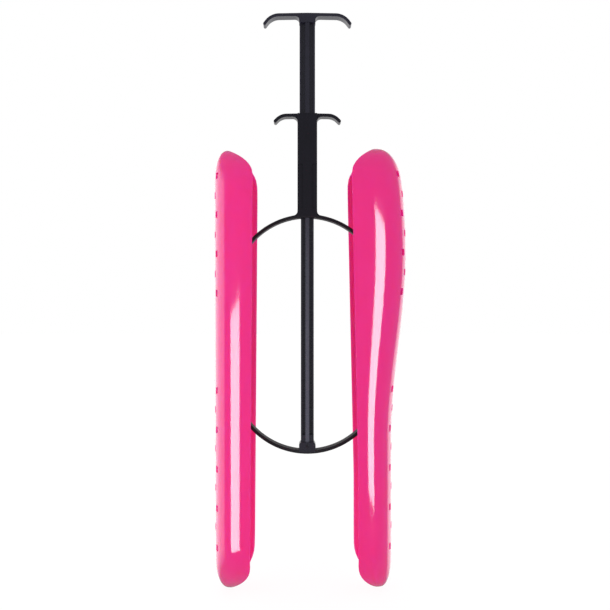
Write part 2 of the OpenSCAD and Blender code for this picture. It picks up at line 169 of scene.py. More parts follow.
def soften(piece: Piece, width: float, segments: int = 2, angle: float = 32) -> None:
    """Rounds a piece's edges that are sharper than the angle in degrees, as a mould leaves them."""
    run_modifier(
        piece, "BEVEL", width=width, segments=segments, limit_method="ANGLE",
        angle_limit=math.radians(angle), use_clamp_overlap=True, miter_outer="MITER_ARC",
    )


def block(low: Sequence[float], high: Sequence[float]) -> Piece:
    """A block between two corners, for cutting or fusing."""
    deselect_all()
    middle = [(a + b) / 2 for a, b in zip(low, high)]
    bpy.ops.mesh.primitive_cube_add(size=1, location=middle)
    piece = bpy.context.object
    piece.scale = [b - a for a, b in zip(low, high)]
    settle(piece)
    return piece


def box(size: tuple[float, float], low: float, high: float) -> Piece:
    """A block of that size in X and Y round the rod's axis, for building or boring."""
    return block((-size[0] / 2, -size[1] / 2, low), (size[0] / 2, size[1] / 2, high))


def bar(radius: float, depth: float, x: float, z: float, sides: int = 48) -> Piece:
    """A round bar along Y, centred on the middle plane."""
    deselect_all()
    bpy.ops.mesh.primitive_cylinder_add(
        vertices=sides, radius=radius, depth=depth, location=(x, 0, z), rotation=(math.pi / 2, 0, 0)
    )
    piece = bpy.context.object
    settle(piece)
    return piece


def slab(outline: Sequence[tuple[float, float]], depth: float, upright: bool = True) -> Piece:
    """A closed slab, pulled by a depth out of a flat face.

    The outline's corners are in X and Z if it stands upright, centred on the middle plane, and
    otherwise in X and Y.
    """
    deselect_all()
    bpy.ops.mesh.primitive_circle_add(vertices=len(outline), radius=1, fill_type="NGON")
    piece = bpy.context.object
    for corner, (a, b) in zip(piece.data.vertices, outline):
        corner.co = (a, -depth / 2, b) if upright else (a, b, 0)
    edit(piece)
    pull = (0, depth, 0) if upright else (0, 0, depth)
    bpy.ops.mesh.extrude_region_move(TRANSFORM_OT_translate={"value": pull})
    bpy.ops.mesh.select_all(action="SELECT")
    bpy.ops.mesh.normals_make_consistent(inside=False)
    leave()
    return piece


def strip(
    start: tuple[float, float], heading: float, size: tuple[float, float],
    moves: Sequence[tuple[str, float, float]],
) -> Piece:
    """A closed flat bar pulled along X and Z, as runs and bends.

    Args:
        start: X and Z of the middle of its first end.
        heading: Direction of travel in degrees, from +X towards +Z.
        size: Thickness, and depth along Y.
        moves: ("run", length, 0) or ("bend", radius, angle); a positive angle turns left.
    """
    deselect_all()
    bpy.ops.mesh.primitive_plane_add(size=1, location=(0, 0, 0), rotation=(0, math.pi / 2, 0))
    piece = bpy.context.object
    piece.scale = (size[0], size[1], 1)
    settle(piece)
    turn = math.radians(heading)
    for corner in piece.data.vertices:
        corner.co = Vector(
            (start[0] - corner.co.z * math.sin(turn), corner.co.y, start[1] + corner.co.z * math.cos(turn))
        )
    place = Vector((start[0], 0, start[1]))
    degrees_per_step = 3
    edit(piece)
    for move, length, angle in moves:
        ahead = Vector((math.cos(turn), 0, math.sin(turn)))
        left = Vector((-math.sin(turn), 0, math.cos(turn)))
        if move == "run":
            bpy.ops.mesh.extrude_region_move(TRANSFORM_OT_translate={"value": tuple(ahead * length)})
            place += ahead * length
        else:
            swing = math.radians(angle)
            centre = place + left * math.copysign(length, angle)
            steps = max(4, round(abs(angle) / degrees_per_step))
            bpy.ops.mesh.spin(steps=steps, angle=swing, center=tuple(centre), axis=(0, 1, 0))
            turn += swing
            left = Vector((-math.sin(turn), 0, math.cos(turn)))
            place = centre - left * math.copysign(length, angle)
    bpy.ops.mesh.select_all(action="SELECT")
    bpy.ops.mesh.remove_doubles(threshold=0.0001)
    bpy.ops.mesh.normals_make_consistent(inside=False)
    leave()
    return piece


def fillet(x: float, z: float, radius: float, depth: float, side: int, up: int) -> Piece:
    """The blend in the corner at X and Z between an upright and a level face.

    Side and up are the signs of X and Z on which the open side lies. The block with the quarter
    round taken out reaches a little into both faces.
    """
    inside = 0.6
    xs = sorted((x - side * inside, x + side * radius))
    zs = sorted((z - up * inside, z + up * radius))
    piece = block((xs[0], -depth / 2, zs[0]), (xs[1], depth / 2, zs[1]))
    cut(piece, bar(radius, depth + 2, x + side * radius, z + up * radius))
    return piece


def trim(piece: Piece, depth: float) -> None:
    """Cuts a piece off level at front and back, to one depth along Y that all its parts share."""
    edit(piece)
    for side in (-1, 1):
        bpy.ops.mesh.select_all(action="SELECT")
        bpy.ops.mesh.bisect(
            plane_co=(0, side * depth / 2, 0), plane_no=(0, side, 0), use_fill=True, clear_outer=True
        )
    leave()


# ---- Node helpers for materials ----


def srgb(code: str) -> tuple[float, float, float, float]:
    """Turns an sRGB hex colour into linear red, green, blue and alpha."""
    parts = [int(code[i : i + 2], 16) / 255 for i in (1, 3, 5)]
    return (*[c / 12.92 if c <= 0.04045 else ((c + 0.055) / 1.055) ** 2.4 for c in parts], 1.0)


def add_node(
    tree: Tree, kind: str, inputs: dict[str | int, object] | None = None, **settings: object
) -> bpy.types.Node:
    """Adds a node with its settings.

    The inputs give a value or another node's output socket for each input, by name or number.
    """
    node = tree.nodes.new(kind)
    for name, value in settings.items():
        setattr(node, name, value)
    for name, value in (inputs or {}).items():
        socket = node.inputs[name]
        if isinstance(value, Socket):
            tree.links.new(value, socket)
        else:
            socket.default_value = value
    return node


def per_metre(size: float) -> float:
    """A texture's scale for features of that many millimetres, on Object coordinates in metres."""
    return 1 / (size * METRES_PER_MM)


def clear_tree(owner: Material | bpy.types.World) -> Tree:
    """Turns on the nodes of a material or world and empties its tree."""
    owner.use_nodes = True
    owner.node_tree.nodes.clear()
    return owner.node_tree


def calculate(tree: Tree, operation: str, *values: object) -> Socket:
    """Works out one sum from values or sockets, and returns the result's socket."""
    return add_node(tree, "ShaderNodeMath", dict(enumerate(values)), operation=operation).outputs[0]


def ramp(tree: Tree, value: object, source: Sequence[float], target: Sequence[object] = (0.0, 1.0)) -> Socket:
    """Maps one range on to another, level beyond its ends, and returns the result's socket."""
    return add_node(
        tree, "ShaderNodeMapRange",
        {"Value": value, "From Min": source[0], "From Max": source[1],
         "To Min": target[0], "To Max": target[1]},
    ).outputs["Result"]


def mix(tree: Tree, share: object, *pair: object, colours: bool = False) -> Socket:
    """Mixes two numbers or two colours and returns the result's socket."""
    first, kind, result = (6, "RGBA", 2) if colours else (2, "FLOAT", 0)
    inputs = {0: share, first: pair[0], first + 1: pair[1]}
    return add_node(tree, "ShaderNodeMix", inputs, data_type=kind).outputs[result]


def seen_directly(tree: Tree) -> Socket:
    """Gives 1 to the camera's own rays, also through something clear, and 0 to all others."""
    path = add_node(tree, "ShaderNodeLightPath").outputs
    return calculate(tree, "MAXIMUM", path["Is Camera Ray"], path["Is Transmission Ray"])


@dataclass(frozen=True)
class PaintedSheen:
    """A painted sheen: a paler band painted along the middle of a rod, stronger towards its foot, which is a
    painted reflection of the room on the rib.

    Each pair is in millimetres: where the painted sheen starts and where it is full, as a distance from
    the middle plane and as a height.
    """

    colour: str
    reach: tuple[float, float]
    height: tuple[float, float]

    def over(self, tree: Tree, place: Socket, colour: Socket) -> Socket:
        """Lays the painted sheen over a colour and returns the two mixed."""
        axes = add_node(tree, "ShaderNodeSeparateXYZ", {"Vector": place}).outputs
        aside = calculate(tree, "ABSOLUTE", axes["X"])
        middle = ramp(tree, aside, [length * METRES_PER_MM for length in self.reach])
        low = ramp(tree, axes["Z"], [length * METRES_PER_MM for length in self.height])
        amount = calculate(tree, "MULTIPLY", middle, low)
        return mix(tree, amount, colour, srgb(self.colour), colours=True)


@dataclass(frozen=True)
class MouldedPlastic:
    """A finish of injection-moulded plastic.

    The mould's skin gives it two things to see: a slow waviness from shrinkage, which bends
    reflections a little, and a fine grain or polish, which sets how sharp they are. Their sizes
    and depths are in millimetres.
    """

    name: str
    colour: str
    shade: str
    roughness: tuple[float, float]
    ior: float
    wave_size: float
    wave_depth: float
    grain_size: float
    grain_depth: float
    specular: float = 0.5
    coat: float = 0.0
    subsurface: float = 0.0
    painted_sheen: PaintedSheen | None = None

    def make(self) -> Material:
        """Builds the material."""
        material = bpy.data.materials.new(self.name)
        tree = clear_tree(material)
        place = add_node(tree, "ShaderNodeTexCoord").outputs["Object"]
        wave = add_node(
            tree, "ShaderNodeTexNoise", {"Vector": place, "Scale": per_metre(self.wave_size), "Detail": 1.0}
        ).outputs["Fac"]
        grain = add_node(
            tree, "ShaderNodeTexNoise",
            {"Vector": place, "Scale": per_metre(self.grain_size), "Detail": 3.0, "Roughness": 0.6},
        ).outputs["Fac"]
        colour = mix(tree, wave, srgb(self.colour), srgb(self.shade), colours=True)
        # Where a painted sheen is given, a painted reflection is mixed into the colour here.
        if self.painted_sheen is not None:
            colour = self.painted_sheen.over(tree, place, colour)
        normal = None
        for height, depth in ((wave, self.wave_depth), (grain, self.grain_depth)):
            inputs = {"Height": height, "Strength": 1.0, "Distance": depth * METRES_PER_MM}
            if normal is not None:
                inputs["Normal"] = normal
            normal = add_node(tree, "ShaderNodeBump", inputs).outputs["Normal"]
        shader = add_node(
            tree, "ShaderNodeBsdfPrincipled",
            {"Base Color": colour, "Roughness": ramp(tree, grain, (0.3, 0.7), self.roughness),
             "IOR": self.ior, "Normal": normal, "Specular IOR Level": self.specular, "Coat Weight": self.coat,
             "Coat Roughness": 0.06, "Subsurface Weight": self.subsurface,
             "Subsurface Radius": (1.0, 0.2, 0.45), "Subsurface Scale": 4 * METRES_PER_MM},
        )
        add_node(tree, "ShaderNodeOutputMaterial", {"Surface": shader.outputs["BSDF"]})
        return material


@dataclass(frozen=True)
class TurnedSteel:
    """Plain turned steel rivet: bright, with fine rings round its axis that stretch the gloss."""

    name: str = "turned_steel"
    colour: str = "#B4B6BA"
    ring_pitch: float = 0.25

    def make(self) -> Material:
        """Builds the material."""
        material = bpy.data.materials.new(self.name)
        tree = clear_tree(material)
        place = add_node(tree, "ShaderNodeTexCoord").outputs["Object"]
        rings = add_node(
            tree, "ShaderNodeTexWave",
            {"Vector": place, "Scale": per_metre(self.ring_pitch) / 20, "Distortion": 0.4},
            bands_direction="Y",
        ).outputs["Fac"]
        shader = add_node(
            tree, "ShaderNodeBsdfPrincipled",
            {"Base Color": srgb(self.colour), "Metallic": 1.0,
             "Roughness": ramp(tree, rings, (0, 1), (0.28, 0.4))},
        )
        add_node(tree, "ShaderNodeOutputMaterial", {"Surface": shader.outputs["BSDF"]})
        return material


# Polypropylene from a polished mould: a hard gloss that shows the lamps as long clear bands, and
# walls thin enough for a little light to come through.
SHELL_GLOSS = MouldedPlastic(
    name="gloss_polypropylene_pink", colour="#F22693", shade="#EE208C", roughness=(0.08, 0.13), ior=1.49,
    wave_size=26, wave_depth=0.03, grain_size=1.6, grain_depth=0.0012, coat=1.0, subsurface=1.0,
)
# The inside of the shells is the core side of the mould, which isn't polished, so it is satin. Its pink
# # is the same pink painted paler, painted light that lifts the shade falling inside the troughs.
SHELL_INSIDE_PAINTED_PALER = MouldedPlastic(
    name="satin_polypropylene_pink", colour="#FB39A6", shade="#F6319E", roughness=(0.42, 0.55), ior=1.49,
    wave_size=20, wave_depth=0.03, grain_size=0.8, grain_depth=0.003, specular=0.35, subsurface=1.0,
)
# Black nylon from a fine spark-eroded mould: satin, with a grain too fine to see one by one.
BLACK_SATIN = MouldedPlastic(
    name="satin_nylon_black", colour="#15141F", shade="#100F18", roughness=(0.28, 0.38), ior=1.5,
    wave_size=14, wave_depth=0.02, grain_size=0.5, grain_depth=0.005, specular=0.3,
)
# The rod and its foot's socket are the same nylon, rubbed smoother, so their edges shine a little; their
# colour is also painted lighter than the sleeve's, a painted reflection of the room.
BLACK_RUBBED_PAINTED_LIGHTER = MouldedPlastic(
    name="rubbed_nylon_black", colour="#242330", shade="#1D1C29", roughness=(0.22, 0.34), ior=1.5,
    wave_size=14, wave_depth=0.02, grain_size=0.5, grain_depth=0.0015, specular=0.5,
)
# The rod's rib is painted paler below the sleeve, a painted reflection of the room in front.
BLACK_PAINTED_SHEEN = replace(
    BLACK_RUBBED_PAINTED_LIGHTER, name="nylon_black_painted_sheen",
    painted_sheen=PaintedSheen(colour="#505360", reach=(1.9, 1.4), height=(400, 230)),
)
# The bows are the same black nylon from a coarser spark-eroded cavity: nearly matt, the light
# spreads wide.
BLACK_MATT = MouldedPlastic(
    name="matt_nylon_black", colour="#14131D", shade="#0F0E17", roughness=(0.55, 0.65), ior=1.5,
    wave_size=10, wave_depth=0.02, grain_size=0.4, grain_depth=0.008, specular=0.25,
)
STEEL = TurnedSteel()
DARK_STEEL = TurnedSteel(name="browned_steel", colour="#3C3B42")


@dataclass
class Workshop:
    """Holds the finished materials and hands each piece over to the frame."""

    materials: dict[str, Material] = field(default_factory=dict)

    def finish(
        self, piece: Piece, name: str, finish: MouldedPlastic | TurnedSteel, slot: str,
        in_millimetres: bool = True, inside: MouldedPlastic | None = None,
    ) -> Piece:
        """Names, scales, smooths and dresses a piece, and returns it at the origin.

        Args:
            piece: The modelled piece.
            name: Its name.
            finish: What it is made of.
            slot: The record's material slot; not used.
            in_millimetres: Whether its mesh still has to be turned to metres.
            inside: What its inner faces, marked by the modelling, are made of when they differ.
        """
        if in_millimetres:
            piece.scale = (METRES_PER_MM,) * 3
            settle(piece)
        take(piece)
        bpy.ops.object.shade_smooth_by_angle(angle=math.radians(SMOOTH_ANGLE))
        run_modifier(piece, "WEIGHTED_NORMAL", mode="FACE_AREA", weight=100, keep_sharp=True)
        piece.name = name
        piece.data.name = name
        coats = [finish] if inside is None else [finish, inside]
        for coat in coats:
            if coat.name not in self.materials:
                self.materials[coat.name] = coat.make()
        if inside is None:
            piece.data.materials.clear()
            piece.data.materials.append(self.materials[finish.name])
        else:
            for index, coat in enumerate(coats):
                piece.data.materials[index] = self.materials[coat.name]
        log.info("%s: %d faces", name, len(piece.data.polygons))
        return piece


# ---- Shells ----


@dataclass
class HalfShell:
    """A half-tube shell with domed ends and four staggered rows of air slots.

    Its section is a superellipse. Each tip closes between the rim (0) and the spine (1) as `tips`
    says, from where rim_sweep, spine_round and width_round start; the roots say how bluntly. A
    slot group is the height of its first outer slot and their number.
    """

    side: Side
    node: str
    lift: float
    tips: tuple[float, float]
    width_root: float
    spine_root: float = 0.42
    rim_root: float = 1.0
    closing_power: float = 2.2
    least_opening: float = 0.0008
    height: float = 398
    wall: float = 2
    half_width: tuple[float, float] = (35.3, 37.2)
    section_power: float = 2.25
    rim_sweep: float = 29
    rim_ends: float = 20
    spine_round: float = 30
    width_round: float = 48
    slot_height: float = 5.8
    slot_pitch: float = 35
    slot_edges: tuple[float, float, float] = (9.0, 14.35, 19.4)
    slot_groups: tuple[tuple[float, int], ...] = ((41.3, 5), (267.8, 4))
    slot_zone: float = 60

    def mouth(self, z: float) -> float:
        """Distance from the rod's axis to the straight part of the rim."""
        if self.side is Side.FRONT:
            foot, top = 50.1, 47.3
            return foot + (top - foot) * z / self.height
        foot, top, start = 44.4, 37.9, 94
        return foot - (foot - top) * max(0, (z - start) / (self.height - start))

    def spine(self, z: float) -> float:
        """Distance from the rod's axis to the outside of the spine."""
        if self.side is Side.FRONT:
            foot, top = 83.2, 84.2
            return foot + (top - foot) * z / self.height
        ankle, calf, low, high, fall = 76.3, 89.5, 136, 302, 8.4
        t = max(0, min(1, (z - low) / (high - low)))
        swell = ankle + (calf - ankle) * t * t * (3 - 2 * t)
        return swell - fall * max(0, (z - high) / (self.height - high)) ** 2

    def closing(self, z: float, length: float, root: float) -> float:
        """How far a size has opened at that height, from almost 0 at a tip to 1."""
        result = 1.0
        for u in (z, self.height - z):
            t = max(self.least_opening, min(1, u / length))
            result *= (1 - (1 - t) ** self.closing_power) ** root
        return result

    def ring(self, z: float) -> tuple[float, float, float]:
        """Mouth, spine and half width of the section at that height."""
        mouth, spine = self.mouth(z), self.spine(z)
        tip = mouth + (spine - mouth) * self.tips[0 if z < self.height / 2 else 1]
        return (
            tip + (mouth - tip) * self.closing(z, self.rim_sweep, self.rim_root),
            tip + (spine - tip) * self.closing(z, self.spine_round, self.spine_root),
            (self.half_width[0] + (self.half_width[1] - self.half_width[0]) * z / self.height)
            * self.closing(z, self.width_round, self.width_root),
        )

    def slots(self) -> list[tuple[float, float, float]]:
        """Near edge, far edge and height of each slot to one side of the middle plane."""
        inner, shared, outer = self.slot_edges
        places = []
        for start, count in self.slot_groups:
            for i in range(count):
                z = start + i * self.slot_pitch
                places.append((shared, outer, z))
                if i < count - 1:
                    places.append((inner, shared, z + self.slot_pitch / 2))
        return places

    def columns(self) -> list[tuple[float, float]]:
        """Depth and width shares of the section's points, with a point at each side of each slot."""
        half = sum(self.half_width) / 2
        exact = [
            math.degrees(math.acos((edge / half) ** (self.section_power / 2))) for edge in self.slot_edges
        ]
        spare = [0, 2.5, 6, 10.5, 15, 20, 25, 30, 35, 40, 45, 50, 55, 65, 73.5, 82, 86, 90]
        angles = sorted(exact + spare)
        angles += [180 - a for a in reversed(angles[:-1])]
        power = 2 / self.section_power
        return [
            (
                math.sin(math.radians(a)) ** power,
                -math.copysign(abs(math.cos(math.radians(a))) ** power, 90 - a),
            )
            for a in angles
        ]

    def heights(self) -> list[float]:
        """Heights of the rings, with one at the foot and the top of each slot."""
        steps, spacing, clearance = 15, 7, 1.8
        half = self.slot_height / 2
        exact = sorted({round(z + d, 3) for _, _, z in self.slots() for d in (-half, half)})
        end = [self.width_round * (1 - math.cos(math.radians(90 * i / steps))) for i in range(steps)]
        spare = end + [self.height - z for z in end]
        rings = int((self.height - 2 * self.width_round) / spacing) + 1
        spare += [self.width_round + spacing * i for i in range(rings)]
        return sorted(exact + [z for z in spare if all(abs(z - e) > clearance for e in exact)])

    def build(self) -> Piece:
        """Pulls the section's arc up ring by ring, cuts the slots and gives the wall its thickness."""
        columns, heights = self.columns(), self.heights()
        deselect_all()
        bpy.ops.mesh.primitive_circle_add(vertices=2 * (len(columns) - 1), radius=1, fill_type="NOTHING")
        piece = bpy.context.object
        edit(piece)
        pick(Element.VERT, lambda co: co.x < -NEAR)
        bpy.ops.mesh.delete(type="VERT")
        leave()
        for corner, (u, v) in zip(sorted(piece.data.vertices, key=lambda c: c.co.y), columns):
            corner.co = (u, v, 0)
        mouth, spine, half = self.ring(heights[0])
        sign = self.side.value
        edit(piece)
        bpy.ops.transform.resize(value=(sign * (spine - mouth), half, 1), center_override=(0, 0, 0))
        bpy.ops.transform.translate(value=(sign * mouth, 0, heights[0] + self.lift))
        below = heights[0]
        for z in heights[1:]:
            new_mouth, new_spine, new_half = self.ring(z)
            bpy.ops.mesh.extrude_region_move(
                TRANSFORM_OT_translate={"value": (sign * (new_mouth - mouth), 0, z - below)}
            )
            bpy.ops.transform.resize(
                value=((new_spine - new_mouth) / (spine - mouth), new_half / half, 1),
                center_override=(sign * new_mouth, 0, z + self.lift),
            )
            mouth, spine, half, below = new_mouth, new_spine, new_half, z
        places = self.slots()
        middle_half = sum(self.half_width) / 2

        def in_slot(co: Vector) -> bool:
            """Whether a face's middle lies in a slot."""
            z = co.z - self.lift
            across = abs(co.y) / self.ring(z)[2] * middle_half
            return sign * co.x > self.slot_zone and any(
                near < across < far and abs(z - slot_z) < self.slot_height / 2
                for near, far, slot_z in places
            )

        pick(Element.FACE, in_slot)
        bpy.ops.mesh.delete(type="FACE")
        for z in (heights[0] + self.lift, heights[-1] + self.lift):
            pick(Element.VERT, lambda co: abs(co.z - z) < NEAR)
            bpy.ops.mesh.edge_face_add()
        leave()
        widest = max(piece.data.polygons, key=lambda f: sign * f.center.x)
        if widest.normal.x * sign < 0:
            edit(piece)
            bpy.ops.mesh.flip_normals()
            leave()
        for _ in range(2):
            piece.data.materials.append(None)
        run_modifier(
            piece, "SOLIDIFY", thickness=self.wall, offset=-1, use_even_offset=True, use_quality_normals=True,
            material_offset=1, material_offset_rim=1,
        )
        self.ease_rim(piece)
        soften(piece, 0.45, segments=3, angle=50)
        return piece

    def ease_rim(self, piece: Piece) -> None:
        """Rounds the inner edge of the rim, where the mould's core leaves it, short of its ends."""
        margin = 0.5

        def on_inner_edge(co: Vector) -> bool:
            """Whether an edge's middle lies on the rim's inner edge."""
            z = co.z - self.lift
            if not self.rim_ends < z < self.height - self.rim_ends:
                return False
            mouth, _, half = self.ring(z)
            across = abs(abs(co.y) - half + self.wall)
            return abs(self.side.value * co.x - mouth) < margin and across < margin

        edit(piece)
        count = pick(Element.EDGE, on_inner_edge)
        bpy.ops.mesh.bevel(offset=self.wall * 0.7, segments=5, affect="EDGES", clamp_overlap=False)
        leave()
        log.info("%d edges of the rim rounded", count)

    def make(self, workshop: Workshop) -> None:
        """Builds, dresses and hangs the shell on its body."""
        # The inner faces get the satin pink that is painted paler to lift their shade.
        piece = workshop.finish(
            self.build(), f"{self.node}_skin", SHELL_GLOSS, "shell_plastic", inside=SHELL_INSIDE_PAINTED_PALER
        )
        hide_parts(self.node)
        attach(piece, self.node)


# ---- Hoop ----


@dataclass
class SpringHoop:
    """The two bows, built as four half strips; on the real hoop the halves bend as the grips are squeezed."""

    radius: float = 68
    thickness: float = 2.9
    width: float = 11.6
    upper_top: float = BOW_TOP
    lower_foot: float = 122.8
    pin_x: float = 71
    pin_half_gap: float = 22
    pin_radius: float = 2
    eye_clearance: float = 0.08
    eye_wall: float = 1.5
    rigid_half_width: float = 13.1
    rigid_drop: float = 1.3
    eye_margin: float = 4

    def pin_z(self, up: int) -> float:
        """Height of the hinge pins of the upper bow (1) or of the lower one (-1)."""
        return (self.upper_top + self.lower_foot) / 2 + up * self.pin_half_gap

    def half(self, side: Side, up: int) -> Piece:
        """Half of the upper (1) or lower (-1) bow, from the crown to the bored eye on that side."""
        sign = side.value
        crown = self.upper_top - self.thickness / 2 if up > 0 else self.lower_foot + self.thickness / 2
        centre = crown - up * self.radius
        pin_z = self.pin_z(up)
        drop = abs(centre - pin_z)
        reach = math.hypot(self.pin_x, drop)
        leg = math.sqrt(reach**2 - self.radius**2)
        leg_angle = math.degrees(math.acos(self.radius / reach) - math.atan2(drop, self.pin_x))
        turn = -sign * up * (90 - leg_angle)
        piece = strip(
            (0, crown), 0 if sign > 0 else 180, (self.thickness, self.width),
            [("bend", self.radius, turn), ("run", leg, 0)],
        )
        self.round_corners(piece)
        eye = bar(self.pin_radius + self.eye_clearance + self.eye_wall, self.width, sign * self.pin_x, pin_z)
        soften(eye, 0.3)
        fuse(piece, eye)
        cut(piece, bar(self.pin_radius + self.eye_clearance, self.width + 2, sign * self.pin_x, pin_z))
        if up > 0:
            cut(piece, box(ROD_BORE, crown - 5, crown + 5))
        return piece

    def round_corners(self, piece: Piece) -> None:
        """Rounds the four long corners of a strip, but not its ends."""
        edit(piece)
        mesh = bmesh.from_edit_mesh(piece.data)
        bpy.ops.mesh.select_mode(type="EDGE")
        bpy.ops.mesh.select_all(action="DESELECT")
        for edge in mesh.edges:
            a, b = (corner.co for corner in edge.verts)
            lengthwise = abs(a.x - b.x) + abs(a.z - b.z) > 0.2 and abs(a.y - b.y) < NEAR
            at_crown = max(abs(a.x), abs(b.x)) <= 0.5
            sharp = len(edge.link_faces) == 2 and edge.calc_face_angle() > 1
            edge.select_set(sharp and lengthwise and not at_crown)
        mesh.select_flush_mode()
        bmesh.update_edit_mesh(piece.data)
        bpy.ops.mesh.bevel(offset=0.35, segments=2, affect="EDGES")
        leave()

    def make(self, workshop: Workshop) -> None:
        """Builds and dresses the four halves, and hides the model's two bows that they stand for."""
        made: dict[int, list[Piece]] = {1: [], -1: []}
        for up, level in LEVELS:
            for side in Side:
                word = side.name.lower()
                name = f"{level}_bow_{word}_half"
                piece = workshop.finish(self.half(side, up), name, BLACK_MATT, "black_plastic")
                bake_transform(piece)
                made[up].append(piece)
        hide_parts("upper_bow")
        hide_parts("lower_bow")


@dataclass
class BowHub:
    """The flared foot under the sleeve, through which the rod passes."""

    width: float = SLEEVE_WIDTH
    depth: float = SLEEVE_DEPTH
    bow_top: float = BOW_TOP
    top: float = SLEEVE_FOOT
    sink: float = 1.7
    flare: float = 4.2
    bow_radius: float = 69.1

    def make(self, workshop: Workshop) -> None:
        """Builds the hub as a block with two rounds taken out, and bores it for the rod."""
        foot = self.bow_top - self.sink
        piece = box((self.width, self.depth + 2), foot, self.top)
        drop = (self.width / 2 + self.flare) ** 2 / 2 / self.bow_radius
        for side in (-1, 1):
            flare = fillet(side * self.width / 2, self.bow_top - drop, self.flare, self.depth + 4, side, 1)
            fuse(piece, flare)
        trim(piece, self.depth)
        cut(piece, box(ROD_BORE, foot - 2, self.top + 2))
        soften(piece, 0.25, angle=50)
        piece = workshop.finish(piece, "bow_hub", BLACK_SATIN, "black_plastic")
        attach(piece, "sleeve")


# ---- Grips ----


@dataclass
class SqueezeGrip:
    """A T-shaped grip: two arms that droop a little and hook down at their ends."""

    top: float
    width: float
    thickness: float
    hook_radius: float
    hook_angle: float
    tip: float
    stem_width: float
    droop: float = 1.0
    crown: float = 60
    depth: float = 9.4
    blend: float = 4.4
    block_height: float = 0
    block_lip: float = 0.4

    def build(self) -> Piece:
        """Bends one strip from hook to hook, adds what is under it, and trims all to one depth."""
        hook, d = math.radians(self.hook_angle + self.droop), math.radians(self.droop)
        t, r, tip = self.thickness, self.hook_radius, self.tip
        hook_reach = tip * math.cos(hook) + r * (math.sin(hook) - math.sin(d)) + self.crown * math.sin(d)
        hook_drop = tip * math.sin(hook) + r * (math.cos(d) - math.cos(hook)) + self.crown * (1 - math.cos(d))
        end = self.width / 2 - t / 2
        run = (end - hook_reach) / math.cos(d)
        z = self.top - t / 2 - hook_drop - run * math.sin(d)
        ahead = (t / 2 * math.cos(hook), t / 2 * math.sin(hook))
        piece = strip(
            (-end - ahead[0], z - ahead[1]), self.hook_angle + self.droop, (t, self.depth + 2),
            [("run", tip + t / 2, 0), ("bend", r, -self.hook_angle), ("run", run, 0),
             ("bend", self.crown, -2 * self.droop), ("run", run, 0), ("bend", r, -self.hook_angle),
             ("run", tip + t / 2, 0)],
        )
        edit(piece)
        for side in (-1, 1):
            face = Vector((side * (end + ahead[0]), 0, z - ahead[1]))
            pick(Element.EDGE, lambda co: abs(co.y) < NEAR and (co - face).length < t / 2 + NEAR)
            bpy.ops.mesh.bevel(offset=0.48 * t, segments=6, affect="EDGES")
        leave()
        corner = self.top - t - (self.stem_width / 2 + self.blend) * math.tan(d)
        for side in (-1, 1):
            fuse(piece, fillet(side * self.stem_width / 2, corner, self.blend, self.depth + 4, side, -1))
        if self.block_height:
            size, under = (self.stem_width + 2 * self.block_lip, self.depth + 6), self.top - t
            fuse(piece, box(size, under - self.block_height, under + 1))
        trim(piece, self.depth)
        return piece


@dataclass
class PushRod:
    """The palm grip and its ribbed rod, broad above the sleeve's ledge and slender below it."""

    grip: SqueezeGrip
    upper_width: float = 14
    lower_width: float = 11.7
    depth: float = 8.4
    rib: float = 3.8
    flange_depth: float = 6
    flange: float = 1.5
    web: float = 2.6
    foot: float = 126.7
    shoulder: float = 411.2
    foot_block: float = 13

    def ribbed_bar(self, width: float, low: float, high: float) -> Piece:
        """A bar with a web, a rib down its middle and a flange along each edge."""
        half, inside, deep = width / 2, width / 2 - self.flange, self.flange_depth / 2
        quarter = [
            (self.rib / 2, self.depth / 2), (self.rib / 2, self.web / 2), (inside, self.web / 2),
            (inside, deep), (half, deep),
        ]
        right = quarter + [(x, -y) for x, y in reversed(quarter)]
        outline = right + [(-x, y) for x, y in reversed(right)]
        piece = slab(outline, high - low, upright=False)
        piece.location.z = low
        settle(piece)
        return piece

    def make(self, workshop: Workshop) -> None:
        """Builds the rod in one moulding with its grip."""
        piece = self.ribbed_bar(self.upper_width, self.shoulder, self.grip.top - self.grip.thickness / 2)
        fuse(piece, self.ribbed_bar(self.lower_width, self.foot, self.shoulder + 0.5))
        fuse(piece, box((self.lower_width, self.depth), self.foot, self.foot + self.foot_block))
        fuse(piece, self.grip.build())
        soften(piece, 0.3)
        piece = workshop.finish(piece, "rod_and_palm_grip", BLACK_PAINTED_SHEEN, "black_plastic")
        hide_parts("push_rod")
        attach(piece, "rod")


